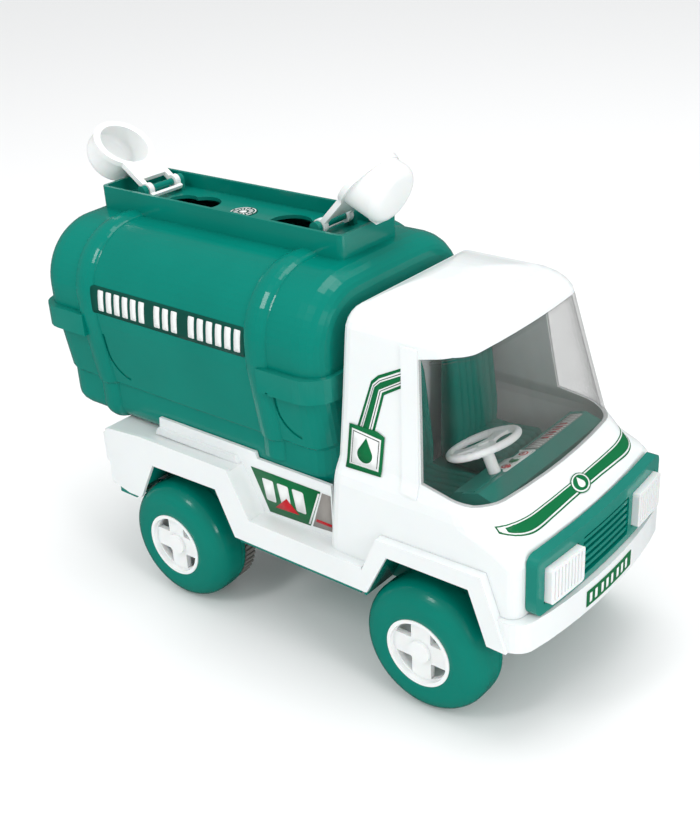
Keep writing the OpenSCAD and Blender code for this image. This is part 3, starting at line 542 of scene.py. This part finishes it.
def plate_bars():
    """Eight plain bars in three groups where a number plate has its characters."""
    low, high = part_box("number_plate")
    wide = (high[1] - low[1]) / MM
    tall = (high[2] - low[2]) / MM
    foot = (low[2] - Z0) / MM
    for k, gap in enumerate((0, 0, 1, 1, 1, 2, 2, 2)):
        y = -wide / 2 + 2.2 + k * (wide - 6.6) / 8 + gap * 1.1
        shape = rounded(bar(y, foot + tall * 0.2, y + 2.2, foot + tall * 0.8, 0), 0.4, 2)
        film(f"plate_bar_{k}", shape, PLATE, lambda u, v: pt(AHEAD, u, v), (-1, 0, 0), 0.1,
             "white_print", 2.0)


def on_tray(name, outline):
    film(name, outline, EMBLEM, lambda u, v: pt(u, v, OVER_TRAY), (0, 0, -1), 0.08,
         "white_print", 2.0)


def tray_emblem():
    """A round middle, sixteen rays and a ring in four parts."""
    x = (centre("tray_emblem").x - X0) / MM
    on_tray("emblem_middle", disc(x, 0, 2.1))
    for k in range(16):
        corners = [turned(u, v, math.radians(k * 22.5)) for u, v in
                   ((3.2, -0.35), (5.6, -0.6), (5.6, 0.6), (3.2, 0.35))]
        on_tray(f"emblem_ray_{k}", [(x + u, v) for u, v in corners])
    for k in range(4):
        start, end = k * 90 + 4, k * 90 + 86
        outer = disc(x, 0, 7.3, None, 10, start, end)
        inner = disc(x, 0, 6.6, None, 10, end, start)
        on_tray(f"emblem_ring_{k}", outer + inner)


# ---------------------------------------------------------------- cab interior

def skin(rings, closed):
    """Faces through rings of equal length: a loop of rings, or a row with its two ends capped."""
    n = len(rings[0])
    verts = [v for ring in rings for v in ring]
    faces = []
    for k in range(len(rings) if closed else len(rings) - 1):
        m = (k + 1) % len(rings)
        faces += [[k * n + i, k * n + (i + 1) % n, m * n + (i + 1) % n, m * n + i] for i in range(n)]
    if not closed:
        faces += [list(range(n))[::-1], [(len(rings) - 1) * n + i for i in range(n)]]
    return verts, faces


def cushion(profile, y0, y1, depth, narrow):
    """A moulded seat part: a side outline swept across the seat, with round ends and ribs.

    depth is the ribs' depth in mm; narrow gives how wide the seat is at a point of the outline."""
    end_radius = 3.6
    steps = 56
    middle = (y0 + y1) / 2
    rings = []
    for k in range(steps + 1):
        q = k / steps
        y = y0 + (y1 - y0) * q
        edge = min(y - y0, y1 - y)
        back = rib(q, depth)
        if edge < end_radius:
            back += end_radius * (1 - math.sqrt(max(0, 1 - (1 - edge / end_radius) ** 2)))
        outline = inset(profile, min(back, end_radius * 0.96))
        rings.append([pt(p.x, middle + (y - middle) * narrow(base), p.y)
                      for p, base in zip(outline, profile)])
    return skin(rings, False)


def rib(q, depth):
    """The depth of the five grooves across the middle of a seat, with plain bolsters beside them."""
    count, low, high, rim = 5, 0.16, 0.84, 0.02
    if q < low - rim or q > high + rim:
        return 0.0
    phase = (q - low) / (high - low) * count
    return depth * max(0.0, 1 - abs(phase - round(phase)) * 5)


def seat(name, node_name, y0, y1):
    """A bucket seat in place of its plain CAD solid: a back that narrows to its top, and a base."""
    back = rounded([(64.5, 91.5), (76, 91.5), (77.4, 112), (73.2, 158), (71, 165.6), (64.5, 165.6)], 4, 5)
    base = rounded([(66, 89.5), (101.5, 89.5), (106.6, 97), (106, 105.4), (84, 103), (66, 104)], 4, 5)

    def head(p):
        return 1.0 - 0.16 * max(0.0, (p[1] - 140) / 26) ** 1.6

    parts = [cushion(back, y0, y1, 1.1, head), cushion(base, y0 + 0.6, y1 - 0.6, 1.2, lambda p: 1.0)]
    mesh = mesh_of(name, *joined(parts))
    piece(name, mesh, BODY, "green_body", (node_name,), 50)


def steering_wheel():
    """A fat rim with finger scallops, three flared spokes, a stepped hub and its column."""
    rim_r, tube_r, hub_r = 17.5, 1.95, 3
    tilt = Matrix.Rotation(math.radians(-25), 3, "Y")

    def put(x, y, z):
        v = tilt @ Vector((x, y, z))
        return pt(118.5 + v.x, -28 + v.y, 134 + v.z)

    rings = []
    for k in range(120):
        a = math.tau * k / 120
        # finger scallops lie between the spokes
        gripped = 0.6 < a % (math.tau / 3) < 1.5
        r = tube_r - (0.22 * max(0.0, math.cos(a * 30)) if gripped else 0.0)
        section = disc(rim_r, 0, r, None, 18)
        rings.append([put(u * math.cos(a), u * math.sin(a), w) for u, w in section])
    parts = [skin(rings, True)]
    for arm in (90, 210, 330):
        rings = []
        for k in range(13):
            q = k / 12
            r = hub_r + 13.2 * q
            half = 3.1 + (2 * q - 1) ** 2 + 1.4 * q ** 6
            thick = 1.3 - 0.35 * math.sin(math.pi * q)
            section = rounded([(-half, -thick), (half, -thick), (half, thick * 0.7), (-half, thick * 0.7)],
                              0.6, 3)
            rings.append([put(*turned(r, u, math.radians(arm)), w - 0.5) for u, w in section])
        parts.append(skin(rings, False))
    # radius and height along the hub and the column, from the foot up
    hub = [(0.05, -35.5), (2.95, -35.5), (3.0, -3.2), (4.6, -3.1), (5.8, -2.6), (5.8, -0.9), (5.4, -0.3),
           (4.4, 0.0), (3.1, 0.1), (2.9, 0.6), (2.4, 1.0), (0.05, 1.0)]
    parts.append(skin([[put(u, v, z) for u, v in disc(0, 0, r)] for r, z in hub], False))
    mesh = mesh_of("steering_wheel_moulding", *joined(parts))
    bm = bmesh.new()
    bm.from_mesh(mesh)
    bmesh.ops.recalc_face_normals(bm, faces=bm.faces[:])
    bm.to_mesh(mesh)
    bm.free()
    piece("steering_wheel_moulding", mesh, "steering", "white_fittings",
          ("steering_wheel",), 38)


tank_labels()
chassis_decals()
cab_decals()
cowl_decal()
seat("driver_bucket_seat", "driver_seat", -51.4, -9.6)
seat("passenger_bucket_seat", "passenger_seat", 9.6, 51.4)
dash_films()
plate_bars()
tray_emblem()
steering_wheel()


# ---------------------------------------------------------------- stage

def link(obj):
    bpy.context.scene.collection.objects.link(obj)
    return obj


def in_gloss(tree):
    """1 for rays that mirror something, 0 for the rest."""
    return node(tree, "ShaderNodeLightPath").outputs["Is Glossy Ray"]


def studio_floor():
    """A pale floor that gloss sees darker, as if the truck stood on a sheet of paper in a dim studio."""
    half, pale, dim = 6, (0.9, 0.9, 0.9, 1), (0.12, 0.13, 0.13, 1)
    mat = bpy.data.materials.new("pale_floor")
    mat.use_nodes = True
    tree = mat.node_tree
    shader = tree.nodes["Principled BSDF"]
    shader.inputs["Base Color"].default_value = pale
    shader.inputs["Roughness"].default_value = 0.7
    tone = node(tree, "ShaderNodeMix", data_type="RGBA")
    tone.inputs[6].default_value = pale
    tone.inputs[7].default_value = dim
    tree.links.new(in_gloss(tree), tone.inputs[0])
    tree.links.new(tone.outputs[2], shader.inputs["Base Color"])
    corners = [(-half, -half, 0), (half, -half, 0), (half, half, 0), (-half, half, 0)]
    floor = link(bpy.data.objects.new("floor", mesh_of("floor", corners, [[0, 1, 2, 3]])))
    floor.data.materials.append(mat)


def studio_world():
    """White light all round; gloss sees it dimmed, which keeps the plastics' colours deep."""
    world = bpy.data.worlds.new("studio")
    world.use_nodes = True
    tree = world.node_tree
    back = tree.nodes["Background"]
    back.inputs["Color"].default_value = (0.985, 0.995, 1.0, 1)
    tree.links.new(spread(tree, in_gloss(tree), 0, 1, 1.0, 0.16), back.inputs["Strength"])
    bpy.context.scene.world = world
    bpy.context.scene.view_settings.view_transform = "Standard"


def area_light(name, at, target, size, power, size_y=None):
    data = bpy.data.lights.new(name, "AREA")
    data.energy = power
    data.size = size
    if size_y:
        data.shape = "RECTANGLE"
        data.size_y = size_y
    obj = link(bpy.data.objects.new(name, data))
    obj.location = at
    obj.rotation_euler = (Vector(target) - Vector(at)).to_track_quat("-Z", "Y").to_euler()


def camera(at, yaw, pitch, roll, focal):
    """A camera at a point, turned from looking along y by angles in degrees."""
    yaw, pitch, roll = (math.radians(a) for a in (yaw, pitch, roll))
    ahead = Vector((-math.sin(yaw) * math.cos(pitch), math.cos(yaw) * math.cos(pitch), -math.sin(pitch)))
    side = Vector((math.cos(yaw), math.sin(yaw), 0))
    top = side.cross(ahead)
    right = side * math.cos(roll) + top * math.sin(roll)
    up = top * math.cos(roll) - side * math.sin(roll)
    lens = bpy.data.cameras.new("camera")
    lens.sensor_width = 36
    lens.lens = focal
    lens.clip_start = 0.02
    obj = link(bpy.data.objects.new("camera", lens))
    turn = Matrix((right, up, -ahead)).transposed()
    obj.matrix_world = Matrix.Translation(at) @ turn.to_4x4()
    bpy.context.scene.camera = obj


studio_floor()
studio_world()
area_light("key_light", (-0.25, -1.1, 1.35), (0, 0, 0.12), 0.3, 4.5, 0.5)
area_light("front_light", (1.5, -0.4, 0.75), (0.05, 0, 0.14), 0.4, 6)
area_light("top_light", (0.1, 0.2, 1.7), (0, 0, 0.1), 0.9, 7)
camera(pt(402.105, -460.235, 414.572), 40.338, 27.189, -3.322, 52.007)
